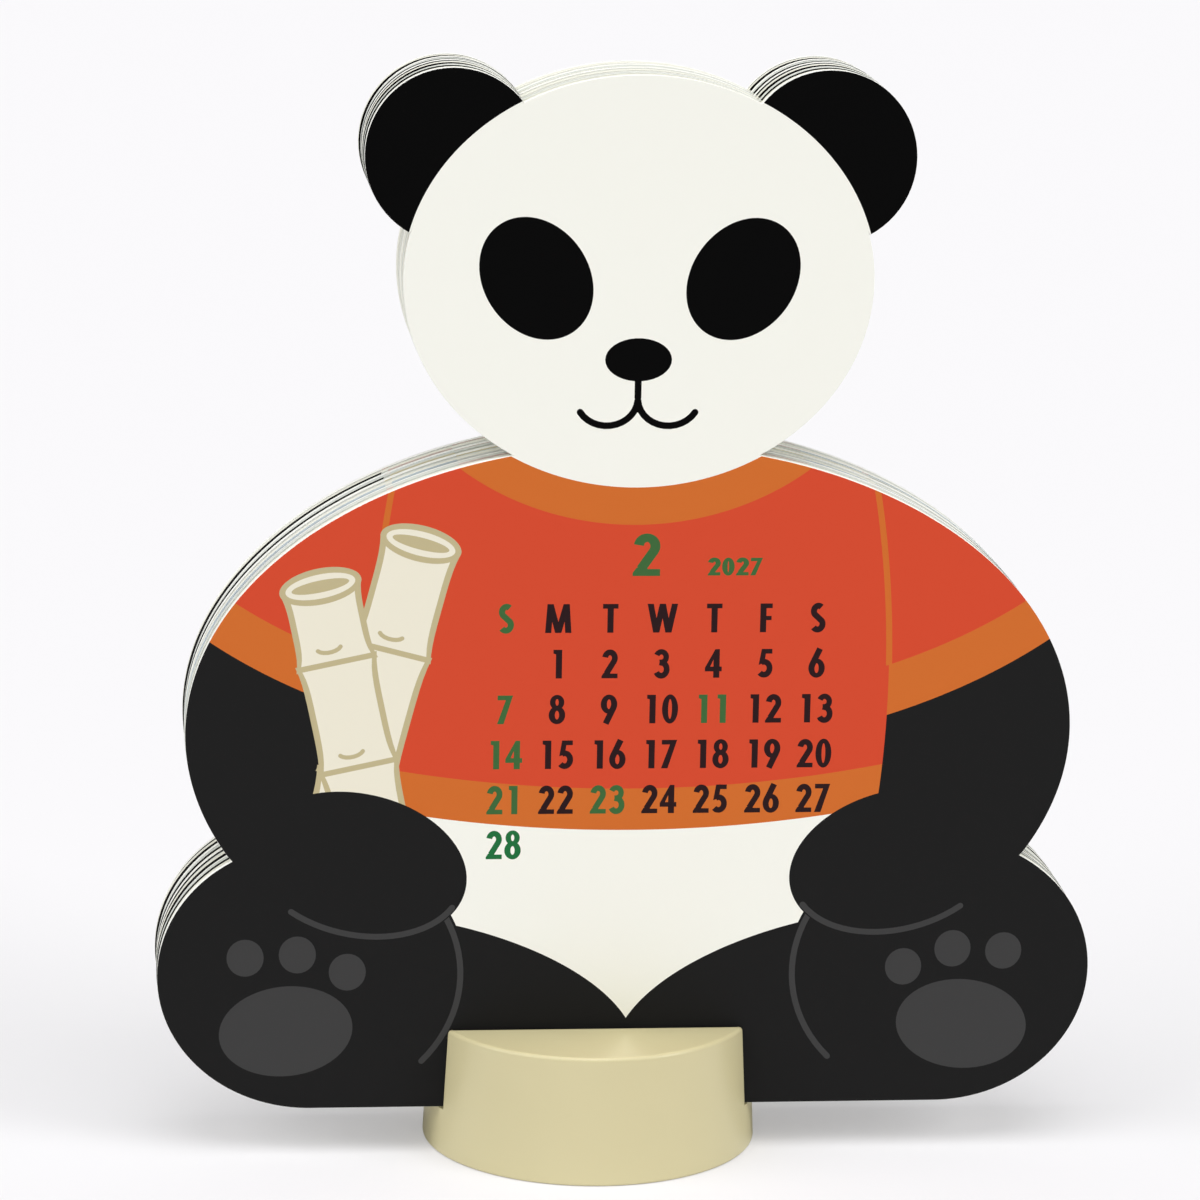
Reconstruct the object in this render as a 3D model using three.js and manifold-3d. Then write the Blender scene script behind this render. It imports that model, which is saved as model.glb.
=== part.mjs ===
// Die-cut desk calendar: thick board cards, cut to the outline of a seated panda, stand on edge in
// the slot of a round moulded stand. Each card lifts straight up out of the slot.
// Millimetres, +Z up. The origin is on the desk at the middle of the stand; the front faces -Y.
import * as THREE from 'three';
import { mergeVertices } from 'three/addons/utils/BufferGeometryUtils.js';
import Module from 'manifold-3d';

const wasm = await Module();
wasm.setup();

// The cards, from the front of the stack to the back: the month on show comes first, and the
// cover and the past month have been moved behind the others.
const CARD_NAMES = ['february', 'march', 'april', 'may', 'june', 'july', 'august', 'september',
  'october', 'november', 'december', 'cover', 'january'];
const CARD_THICKNESS = 1.12;
const CARD_AIR = 0.26; // mean air gap between two cards, and between an end card and the slot's wall
const AIR_UNEVENNESS = 0.4; // share by which the air gaps differ from their mean
const AIR_RHYTHM = 2.4; // radians from one air gap to the next in their uneven run
const CARD_LIFT = 0.3; // clearance between the cards' lower edge and the slot's floor
const STACK_SHIFT = 4.3; // the cards stand this far right of the stand's middle

// The stand, a round puck with a slot right through its top
const STAND_RADIUS = 23.8; // at the desk
const STAND_DRAFT = 2.7; // degrees by which the wall leans in
const STAND_HEIGHT = 18.4;
const SLOT_FLOOR = 6.6; // height of the slot's floor above the desk
const STAND_WALL = 2;
const STAND_RIB = 1.6;
const RIM_ROUNDING = 0.7; // on the top edges
const FOOT_ROUNDING = 0.4; // on the edge at the desk
const SLOT_CORNER = 0.35; // rounding of the upright corners where the slot meets the outer wall

// The die-cut figure, seated and facing the front. Its shapes overlap and are cut as one outline.
const FOOT_WIDTH = 43;
const FOOT_HEIGHT = 39;
const FOOT_SPREAD = 89; // between the middles of the two feet
const BODY_WIDTH = 124; // trunk and arms together
const BODY_HEIGHT = 82;
const BODY_RAISE = 13.4; // lower end of the body's ellipse above the lower edge
const HEAD_WIDTH = 64.6;
const HEAD_HEIGHT = 56.6;
const CHIN_DROP = 5.8; // how far the head reaches down over the body
const EAR_DIAMETER = 24;
const EAR_ANGLE = 37.3; // degrees of the ear's place on the head's ellipse, up from its side

const OUTLINE_SAG = 0.08; // the furthest that a straight facet of the outline cuts inside its curve
const STAND_FACETS = 96;
const ROUNDING_FACETS = 3;
const OVERRUN = 2; // how far a cutting tool runs past the surface it cuts
const MERGE_DISTANCE = 1e-5; // corners closer than this are one

const FULL_TURN = 2 * Math.PI;
const QUARTER_TURN = Math.PI / 2;
const RIGHT = new THREE.Vector3(1, 0, 0);
const FRONT = new THREE.Vector3(0, -1, 0);
const BACK = new THREE.Vector3(0, 1, 0);
const UP = new THREE.Vector3(0, 0, 1);

const airAt = (place) => CARD_AIR * (1 + AIR_UNEVENNESS * Math.sin(AIR_RHYTHM * place));

/** Width of the slot: every card and every air gap, with one at each wall. */
function slotWidth() {
  let width = airAt(0);
  CARD_NAMES.forEach((name, i) => { width += CARD_THICKNESS + airAt(i + 1); });
  return width;
}

const SLOT_HALF = slotWidth() / 2;
const STAND_TAPER = Math.tan(THREE.MathUtils.degToRad(STAND_DRAFT));
const radiusAt = (height) => STAND_RADIUS - height * STAND_TAPER;
const CARD_FOOT = SLOT_FLOOR + CARD_LIFT;

/** Turns a closed mesh into a solid for joining and cutting, without the flat slivers at its poles. */
function solid(geometry) {
  geometry.deleteAttribute('normal');
  geometry.deleteAttribute('uv');
  const merged = mergeVertices(geometry, MERGE_DISTANCE);
  const corners = merged.index.array;
  const triangles = [];
  for (let i = 0; i < corners.length; i += 3) {
    const [a, b, c] = corners.slice(i, i + 3);
    if (a !== b && b !== c && c !== a) triangles.push(a, b, c);
  }
  return new wasm.Manifold(new wasm.Mesh({
    numProp: 3,
    vertProperties: new Float32Array(merged.attributes.position.array),
    triVerts: new Uint32Array(triangles),
  }));
}

/** Turns a solid back into a mesh's geometry. */
function surface(shape) {
  const mesh = shape.getMesh();
  const geometry = new THREE.BufferGeometry();
  geometry.setAttribute('position', new THREE.BufferAttribute(mesh.vertProperties, 3));
  geometry.setIndex(new THREE.BufferAttribute(mesh.triVerts, 1));
  geometry.computeVertexNormals();
  return geometry;
}

/** A closed outline pushed along its depth, laid into the part's axes by three directions. */
function prism(outline, depth, curveSegments, right, up, forward) {
  const geometry = new THREE.ExtrudeGeometry(outline, { depth, curveSegments, bevelEnabled: false });
  return geometry.applyMatrix4(new THREE.Matrix4().makeBasis(right, up, forward));
}

/** A box given by its middle in plan, its sizes, and the heights it runs between. */
function block(sizeX, sizeY, low, high) {
  return solid(new THREE.BoxGeometry(sizeX, sizeY, high - low).translate(0, 0, (low + high) / 2));
}

/** A profile of radius and height turned round the stand's upright axis. */
function turned(points) {
  return solid(new THREE.LatheGeometry(points, STAND_FACETS).rotateX(QUARTER_TURN));
}

/** The puck before it is cut: a leaning wall, rounded at the desk and round its top. */
function puck() {
  const lean = THREE.MathUtils.degToRad(STAND_DRAFT);
  const foot = new THREE.Vector2(radiusAt(FOOT_ROUNDING) - FOOT_ROUNDING, FOOT_ROUNDING);
  const rimHeight = STAND_HEIGHT - RIM_ROUNDING;
  const profile = new THREE.Path();
  profile.moveTo(0, 0);
  profile.lineTo(foot.x, 0);
  profile.absarc(foot.x, foot.y, FOOT_ROUNDING, -QUARTER_TURN, 0, false);
  profile.absarc(radiusAt(rimHeight) - RIM_ROUNDING, rimHeight, RIM_ROUNDING, lean, QUARTER_TURN, false);
  profile.lineTo(0, STAND_HEIGHT);
  return turned(profile.getPoints(ROUNDING_FACETS));
}

/** How far out along X the rounding of the slot's mouths has its middle, at a height. */
function mouthAt(height) {
  const reach = radiusAt(height) - SLOT_CORNER;
  const arcY = SLOT_HALF + SLOT_CORNER;
  return Math.sqrt(reach * reach - arcY * arcY);
}

/** The slot as seen from above at its floor, with its mouths flared round the upright corners. */
function slotFromAbove() {
  const arcY = SLOT_HALF + SLOT_CORNER;
  const arcX = mouthAt(SLOT_FLOOR);
  const bearing = Math.atan2(arcY, arcX);
  const mouth = 2 * STAND_RADIUS;
  const outline = new THREE.Shape();
  outline.moveTo(arcX, -SLOT_HALF);
  outline.absarc(arcX, -arcY, SLOT_CORNER, QUARTER_TURN, -bearing, true);
  outline.lineTo(mouth * Math.cos(bearing), -mouth * Math.sin(bearing));
  outline.lineTo(mouth * Math.cos(bearing), mouth * Math.sin(bearing));
  outline.absarc(arcX, arcY, SLOT_CORNER, bearing, -QUARTER_TURN, true);
  outline.absarc(-arcX, arcY, SLOT_CORNER, -QUARTER_TURN, -Math.PI - bearing, true);
  outline.lineTo(-mouth * Math.cos(bearing), mouth * Math.sin(bearing));
  outline.lineTo(-mouth * Math.cos(bearing), -mouth * Math.sin(bearing));
  outline.absarc(-arcX, -arcY, SLOT_CORNER, Math.PI + bearing, QUARTER_TURN, true);
  return outline;
}

/** The well of the slot, whose mouths draw in towards the top as the outer wall leans. */
function slotWell() {
  const top = STAND_HEIGHT + OVERRUN;
  const well = prism(slotFromAbove(), top - SLOT_FLOOR, ROUNDING_FACETS, RIGHT, BACK, UP);
  const corners = well.attributes.position;
  const leanIn = mouthAt(SLOT_FLOOR) - mouthAt(top);
  for (let i = 0; i < corners.count; i += 1) {
    if (corners.getZ(i) > 0) corners.setX(i, corners.getX(i) - Math.sign(corners.getX(i)) * leanIn);
  }
  return well.translate(0, 0, SLOT_FLOOR);
}

/** The slot's top as seen from its end, with both long edges rounded over. */
function slotLip() {
  const arcY = SLOT_HALF + RIM_ROUNDING;
  const arcZ = STAND_HEIGHT - RIM_ROUNDING;
  const outline = new THREE.Shape();
  outline.moveTo(-SLOT_HALF, arcZ);
  outline.lineTo(SLOT_HALF, arcZ);
  outline.absarc(arcY, arcZ, RIM_ROUNDING, Math.PI, QUARTER_TURN, true);
  outline.lineTo(arcY, STAND_HEIGHT + OVERRUN);
  outline.lineTo(-arcY, STAND_HEIGHT + OVERRUN);
  outline.absarc(-arcY, arcZ, RIM_ROUNDING, QUARTER_TURN, 0, true);
  return outline;
}

/** Everything that the cards' slot takes out of the puck. */
function slotTool() {
  const length = 2 * (STAND_RADIUS + OVERRUN);
  const lip = prism(slotLip(), length, ROUNDING_FACETS, BACK, UP, RIGHT);
  return solid(slotWell()).add(solid(lip.translate(-length / 2, 0, 0)));
}

/** The hollow under the stand: one even wall all over, and a cross of ribs down to the desk. */
function hollow() {
  const ceiling = STAND_HEIGHT - STAND_WALL;
  const span = 2 * STAND_RADIUS;
  const inside = turned([
    new THREE.Vector2(0, -OVERRUN),
    new THREE.Vector2(radiusAt(-OVERRUN) - STAND_WALL, -OVERRUN),
    new THREE.Vector2(radiusAt(ceiling) - STAND_WALL, ceiling),
    new THREE.Vector2(0, ceiling),
  ]);
  const underSlot = block(span, 2 * (SLOT_HALF + STAND_WALL), SLOT_FLOOR - STAND_WALL, STAND_HEIGHT);
  const ribAcross = block(span, STAND_RIB, -span, STAND_HEIGHT);
  const ribAlong = block(STAND_RIB, span, -span, STAND_HEIGHT);
  return inside.subtract(underSlot).subtract(ribAcross).subtract(ribAlong);
}

/** The moulded stand, hollow underneath. */
function standGeometry() {
  return surface(puck().subtract(slotTool()).subtract(hollow()));
}

/** One ellipse of the die-cut figure, as an upright board whose front face is at y = 0. */
function ellipseBoard(x, z, width, height) {
  const outline = new THREE.Shape();
  outline.absellipse(x, z, width / 2, height / 2, 0, FULL_TURN, false, 0);
  const meanRadius = (width + height) / 4;
  const halfTurnFacets = Math.ceil(Math.PI * Math.sqrt(meanRadius / (8 * OUTLINE_SAG)));
  return board(outline, halfTurnFacets);
}

/** An outline in X and Z, given the cards' thickness backwards from y = 0. */
function board(outline, curveSegments) {
  const plate = prism(outline, CARD_THICKNESS, curveSegments, RIGHT, UP, FRONT);
  return solid(plate.translate(0, CARD_THICKNESS, 0));
}

/** The straight lower edge between the feet, which stands in the slot. */
function seat(top) {
  const outline = new THREE.Shape();
  outline.moveTo(-FOOT_SPREAD / 2, CARD_FOOT);
  outline.lineTo(FOOT_SPREAD / 2, CARD_FOOT);
  outline.lineTo(FOOT_SPREAD / 2, top);
  outline.lineTo(-FOOT_SPREAD / 2, top);
  return board(outline, 1);
}

/** One die-cut card: seat, feet, body, head and ears as a single outline. */
function cardGeometry() {
  const bodyZ = CARD_FOOT + BODY_RAISE + BODY_HEIGHT / 2;
  const headZ = bodyZ + BODY_HEIGHT / 2 - CHIN_DROP + HEAD_HEIGHT / 2;
  const earAngle = THREE.MathUtils.degToRad(EAR_ANGLE);
  const earX = (HEAD_WIDTH / 2) * Math.cos(earAngle);
  const earZ = headZ + (HEAD_HEIGHT / 2) * Math.sin(earAngle);
  const footZ = CARD_FOOT + FOOT_HEIGHT / 2;
  let card = seat(bodyZ)
    .add(ellipseBoard(0, bodyZ, BODY_WIDTH, BODY_HEIGHT))
    .add(ellipseBoard(0, headZ, HEAD_WIDTH, HEAD_HEIGHT));
  for (const side of [-1, 1]) {
    card = card
      .add(ellipseBoard(side * FOOT_SPREAD / 2, footZ, FOOT_WIDTH, FOOT_HEIGHT))
      .add(ellipseBoard(side * earX, earZ, EAR_DIAMETER, EAR_DIAMETER));
  }
  return surface(card);
}

const plastic = () => new THREE.MeshStandardMaterial({ color: 0xd8c9a0, roughness: 0.45, metalness: 0 });
const paperboard = () => new THREE.MeshStandardMaterial({ color: 0xefefe6, roughness: 0.6, metalness: 0 });

/** A named mesh of the part. */
function piece(name, geometry, material) {
  const mesh = new THREE.Mesh(geometry, material);
  mesh.name = name;
  return mesh;
}

/** The stack of cards, front to back, with its uneven air gaps. */
function stack() {
  const cards = new THREE.Group();
  cards.position.set(STACK_SHIFT, -SLOT_HALF, 0);
  const geometry = cardGeometry();
  let front = airAt(0);
  CARD_NAMES.forEach((name, i) => {
    const card = piece(`card_${name}`, geometry, paperboard());
    card.position.y = front;
    cards.add(card);
    front += CARD_THICKNESS + airAt(i + 1);
  });
  return cards;
}

const calendar = new THREE.Group();
calendar.add(piece('stand', standGeometry(), plastic()));
calendar.add(stack());

export default calendar;
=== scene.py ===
"""Looks of a die-cut desk calendar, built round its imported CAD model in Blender 4.5.

Thirteen board cards, cut to the outline of a seated panda, stand in the slot of a moulded stand.
Pieces are drawn in millimetres and brought to metres as their last step.
"""

import calendar
import logging
import math
from collections.abc import Callable, Iterable, Iterator, Sequence
from contextlib import contextmanager
from dataclasses import dataclass, field, replace
from enum import Enum

import bmesh
import bpy
from mathutils import Matrix, Vector


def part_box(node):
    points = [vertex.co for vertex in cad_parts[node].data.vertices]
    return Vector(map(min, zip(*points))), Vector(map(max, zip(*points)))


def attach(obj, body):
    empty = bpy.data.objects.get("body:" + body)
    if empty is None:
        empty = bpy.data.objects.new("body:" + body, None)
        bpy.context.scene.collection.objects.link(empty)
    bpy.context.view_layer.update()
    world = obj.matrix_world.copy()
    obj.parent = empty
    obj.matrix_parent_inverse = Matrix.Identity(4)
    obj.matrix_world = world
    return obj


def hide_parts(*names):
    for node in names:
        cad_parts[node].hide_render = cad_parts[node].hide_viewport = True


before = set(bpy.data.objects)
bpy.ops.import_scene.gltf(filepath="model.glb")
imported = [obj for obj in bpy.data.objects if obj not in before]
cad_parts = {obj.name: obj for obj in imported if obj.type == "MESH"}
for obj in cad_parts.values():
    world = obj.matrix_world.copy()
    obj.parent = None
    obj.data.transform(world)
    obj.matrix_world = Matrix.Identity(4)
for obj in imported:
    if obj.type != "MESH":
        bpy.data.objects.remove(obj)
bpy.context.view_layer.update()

MM = 0.001
YEAR = 2027
SIDES = (-1, 1)  # the left and the right of the card, as seen from the front
FACET = 0.9  # millimetres; about how long each straight facet of a printed outline is
FINE_FACET = 0.22  # the same for lettering and seams
CARD_AIR = 0.26  # between the first card and the slot's wall, in millimetres
CORNER = 1.2  # radians; two faces that bend by more than this meet at a corner
FLAT = 0.99  # how far a flat face's normal reaches along the way that it faces
SAME = 0.01  # millimetres; places closer together than this are level with each other

Point = tuple[float, float]
Loop = tuple[Point, ...]
Colour = tuple[int, int, int]

log = logging.getLogger("desk_calendar")


class Ink(Enum):
    """Every surface that a card shows, by the name of its finish."""

    CORE = "board_core"
    BACK = "board_back"
    PAPER = "board_front"
    CLOTH = "print_cloth"
    TRIM = "print_trim"
    BLACK = "print_black"
    DEEP = "print_deep_black"
    GREY = "print_grey"
    CREAM = "print_cream"
    TAN = "print_tan"
    GREEN = "print_green"
    OLIVE = "print_green_over_cloth"
    TEXT = "print_text"


class Sleeve(Enum):
    """How far the pullover on a card covers the arms."""

    NONE = "none"
    SHORT = "short"
    LONG = "long"


def linear(colour: Colour) -> tuple[float, float, float, float]:
    """Turns a colour as seen on a screen into the shader's linear one, with an alpha of 1."""
    parts = [part / 255 for part in colour]
    return (*[p / 12.92 if p <= 0.04045 else ((p + 0.055) / 1.055) ** 2.4 for p in parts], 1.0)


def select_only(thing: bpy.types.Object) -> None:
    """Makes one object the only selected and the active one.

    Args:
        thing: the object to work on.
    """
    bpy.ops.object.select_all(action="DESELECT")
    thing.select_set(True)
    bpy.context.view_layer.objects.active = thing


def settle_in_mesh(thing: bpy.types.Object) -> None:
    """Moves an object's place, turn and scale into its mesh."""
    select_only(thing)
    bpy.ops.object.transform_apply(location=True, rotation=True, scale=True)


def primitive(add: Callable[..., set[str]], **settings: object) -> bpy.types.Object:
    """Adds one of Blender's plain solids, with its place, turn and scale kept in its mesh.

    Args:
        add: the operator that adds it.
        settings: what the operator takes.

    Returns:
        The new object.
    """
    bpy.ops.object.select_all(action="DESELECT")
    add(**settings)
    thing = bpy.context.object
    settle_in_mesh(thing)
    return thing


def in_scene(name: str, data: bpy.types.ID) -> bpy.types.Object:
    """Puts a mesh, a lamp or a camera into the scene.

    Args:
        name: the new object's name.
        data: what the object shows.

    Returns:
        The object.
    """
    thing = bpy.data.objects.new(name, data)
    bpy.context.scene.collection.objects.link(thing)
    return thing


@contextmanager
def editing(thing: bpy.types.Object) -> Iterator[None]:
    """Opens an object in edit mode with all of it selected, and leaves the mode afterwards.

    Args:
        thing: the object to edit.

    Yields:
        Nothing, once the object is open.
    """
    select_only(thing)
    bpy.ops.object.mode_set(mode="EDIT")
    bpy.ops.mesh.select_all(action="SELECT")
    yield
    bpy.ops.object.mode_set(mode="OBJECT")


def combine(thing: bpy.types.Object, other: bpy.types.Object, how: str) -> None:
    """Joins another solid to an object, or cuts it out of it, and clears it away.

    Args:
        thing: the object that stays.
        other: the solid that is used up.
        how: UNION or DIFFERENCE.
    """
    select_only(thing)
    step = thing.modifiers.new("combine", "BOOLEAN")
    step.operation = how
    step.solver = "EXACT"
    step.object = other
    bpy.ops.object.modifier_apply(modifier=step.name)
    bpy.data.objects.remove(other)


def pick(
    thing: bpy.types.Object,
    faces: Callable[[bmesh.types.BMFace], bool] | None = None,
    edges: Callable[[bmesh.types.BMEdge], bool] | None = None,
) -> None:
    """Selects the faces or edges of an object in edit mode that pass a test.

    Args:
        thing: the object, which is the active one and in edit mode.
        faces: the test for faces, where faces are wanted.
        edges: the test for edges, where edges are wanted.
    """
    bpy.ops.mesh.select_mode(type="FACE" if faces else "EDGE")
    bpy.ops.mesh.select_all(action="DESELECT")
    shape = bmesh.from_edit_mesh(thing.data)
    shape.normal_update()
    for part in shape.faces if faces else shape.edges:
        part.select_set((faces or edges)(part))
    bmesh.update_edit_mesh(thing.data)


def round_off(
    thing: bpy.types.Object, edges: Callable[[bmesh.types.BMEdge], bool], radius: float, segments: int
) -> None:
    """Rounds the edges of an object in edit mode that pass a test, in a number of facets."""
    pick(thing, edges=edges)
    bpy.ops.mesh.bevel(offset=radius, segments=segments, affect="EDGES", clamp_overlap=False)


def feed(tree: bpy.types.NodeTree, node: bpy.types.Node, inputs: dict[str | int, object]) -> None:
    """Sets inputs of a node.

    Args:
        tree: the nodes that it belongs to.
        node: the node.
        inputs: for each input, its value or the output of another node that feeds it.
    """
    for name, value in inputs.items():
        if isinstance(value, bpy.types.NodeSocket):
            tree.links.new(value, node.inputs[name])
        else:
            node.inputs[name].default_value = value


def new_node(
    tree: bpy.types.NodeTree, kind: str, inputs: dict[str | int, object], **settings: str
) -> bpy.types.NodeOutputs:
    """Adds a node.

    Args:
        tree: the nodes that it joins.
        kind: its type.
        inputs: for each input, its value or the output of another node that feeds it.
        settings: the node's own choices, made before its inputs are set.

    Returns:
        Its outputs.
    """
    node = tree.nodes.new(kind)
    for name, value in settings.items():
        setattr(node, name, value)
    feed(tree, node, inputs)
    return node.outputs


@dataclass(frozen=True)
class Oval:
    """An ellipse on the card, in millimetres from the middle of the card's lower edge."""

    x: float
    z: float
    half_width: float
    half_height: float
    turn: float = 0.0

    def grown(self, by: float) -> "Oval":
        """The same oval, larger all round by a margin."""
        return replace(self, half_width=self.half_width + by, half_height=self.half_height + by)

    def on(self, side: int) -> "Oval":
        """The same oval on one side of the card: 1 for its own side, -1 for the other."""
        return replace(self, x=side * self.x, turn=side * self.turn)

    def arc(self, start: float, end: float, step: float) -> list[Point]:
        """Points along a part of the oval.

        Args:
            start: angle of the first point in degrees, anticlockwise from the oval's right.
            end: angle of the last point.
            step: the most degrees between two points.

        Returns:
            The points in order.
        """
        count = max(1, math.ceil(abs(end - start) / step))
        cos_turn = math.cos(math.radians(self.turn))
        sin_turn = math.sin(math.radians(self.turn))
        points = []
        for i in range(count + 1):
            angle = math.radians(start + (end - start) * i / count)
            across = self.half_width * math.cos(angle)
            up = self.half_height * math.sin(angle)
            points.append(
                (self.x + across * cos_turn - up * sin_turn, self.z + across * sin_turn + up * cos_turn)
            )
        return points

    def loop(self, facet: float = FACET) -> Loop:
        """The corners of the whole outline, anticlockwise, in facets of about one length."""
        corners = max(16, round(math.pi * (self.half_width + self.half_height) / facet))
        return tuple(self.arc(0, 360, 360 / corners)[:-1])


@dataclass(frozen=True)
class Shape:
    """A printed shape with one or more closed outlines, where an inner one runs clockwise."""

    loops: tuple[Loop, ...]

    @classmethod
    def disc(cls, oval: Oval, facet: float = FACET) -> "Shape":
        """A filled oval."""
        return cls((oval.loop(facet),))

    @classmethod
    def ring(cls, oval: Oval, sides: float, ends: float) -> "Shape":
        """A hollow oval inside a given one, with strokes of two widths: at its sides and its ends."""
        hole = replace(oval, half_width=oval.half_width - sides, half_height=oval.half_height - ends)
        return cls((oval.loop(FINE_FACET), tuple(reversed(hole.loop(FINE_FACET)))))

    @classmethod
    def plate(cls, *corners: Point) -> "Shape":
        """A filled polygon."""
        return cls((corners,))

    @classmethod
    def bar(cls, left: float, right: float, low: float, high: float) -> "Shape":
        """A filled upright rectangle, by its four sides."""
        return cls.plate((left, low), (right, low), (right, high), (left, high))

    @classmethod
    def ribbon(cls, line: Sequence[Point], width: float, rounded: bool = False) -> "Shape":
        """A stroke of even width along a line.

        Args:
            line: the points of its middle line.
            width: its width.
            rounded: whether its ends are round instead of square.

        Returns:
            The stroke.
        """
        last = len(line) - 1
        left, right, headings = [], [], []
        for i, (x, z) in enumerate(line):
            ahead = line[min(i + 1, last)]
            behind = line[max(i - 1, 0)]
            heading = math.atan2(ahead[1] - behind[1], ahead[0] - behind[0])
            headings.append(math.degrees(heading))
            out_x = -math.sin(heading) * width / 2
            out_z = math.cos(heading) * width / 2
            left.append((x + out_x, z + out_z))
            right.append((x - out_x, z - out_z))
        tip, tail = [], []
        if rounded:
            half = width / 2
            end, start = Oval(*line[-1], half, half), Oval(*line[0], half, half)
            tip = end.arc(headings[-1] - 90, headings[-1] + 90, 30)[1:-1]
            tail = start.arc(headings[0] + 90, headings[0] + 270, 30)[1:-1]
        return cls((tuple(right + tip + left[::-1] + tail),))

    def placed(self, x: float, z: float, wide: float = 1.0, high: float = 1.0) -> "Shape":
        """The same shape stretched about its origin, and then moved right by x and up by z."""
        return Shape(tuple(tuple((x + wide * a, z + high * b) for a, b in loop) for loop in self.loops))

    def turned_over(self, height: float) -> "Shape":
        """The same shape turned half a turn about the middle of a given height."""
        return Shape(tuple(tuple((-a, height - b) for a, b in loop) for loop in self.loops))

    def holds(self, x: float, z: float) -> bool:
        """Whether a point lies inside.

        Args:
            x: the point's place across.
            z: the point's place up.

        Returns:
            True where the outlines wind round the point.
        """
        turns = 0
        for loop in self.loops:
            for (x0, z0), (x1, z1) in zip(loop, loop[1:] + loop[:1], strict=True):
                if (z0 <= z) == (z1 <= z):
                    continue
                side = (x1 - x0) * (z - z0) - (x - x0) * (z1 - z0)
                if z1 > z0 and side > 0:
                    turns += 1
                elif z1 < z0 and side < 0:
                    turns -= 1
        return turns != 0


@dataclass(frozen=True)
class Patch:
    """An area of one ink: the part that all of some shapes share, less others."""

    ink: Ink
    within: tuple[Shape, ...]
    outside: tuple[Shape, ...] = ()

    def covers(self, x: float, z: float) -> bool:
        """Whether the ink lies on a point, before what is printed over it."""
        return all(s.holds(x, z) for s in self.within) and not any(s.holds(x, z) for s in self.outside)


def ink_at(patches: Iterable[Patch], x: float, z: float) -> Ink:
    """The ink that shows at a point.

    Args:
        patches: the print, in the order in which it is laid down.
        x: the point's place across.
        z: the point's place up.

    Returns:
        The last ink laid there, or the bare front of the board.
    """
    found = Ink.PAPER
    for patch in patches:
        if patch.covers(x, z):
            found = patch.ink
    return found


def shapes_of(patches: Iterable[Patch]) -> list[Shape]:
    """Every shape that some patches are made of, each once."""
    return list(dict.fromkeys(s for p in patches for s in p.within + p.outside))


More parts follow.
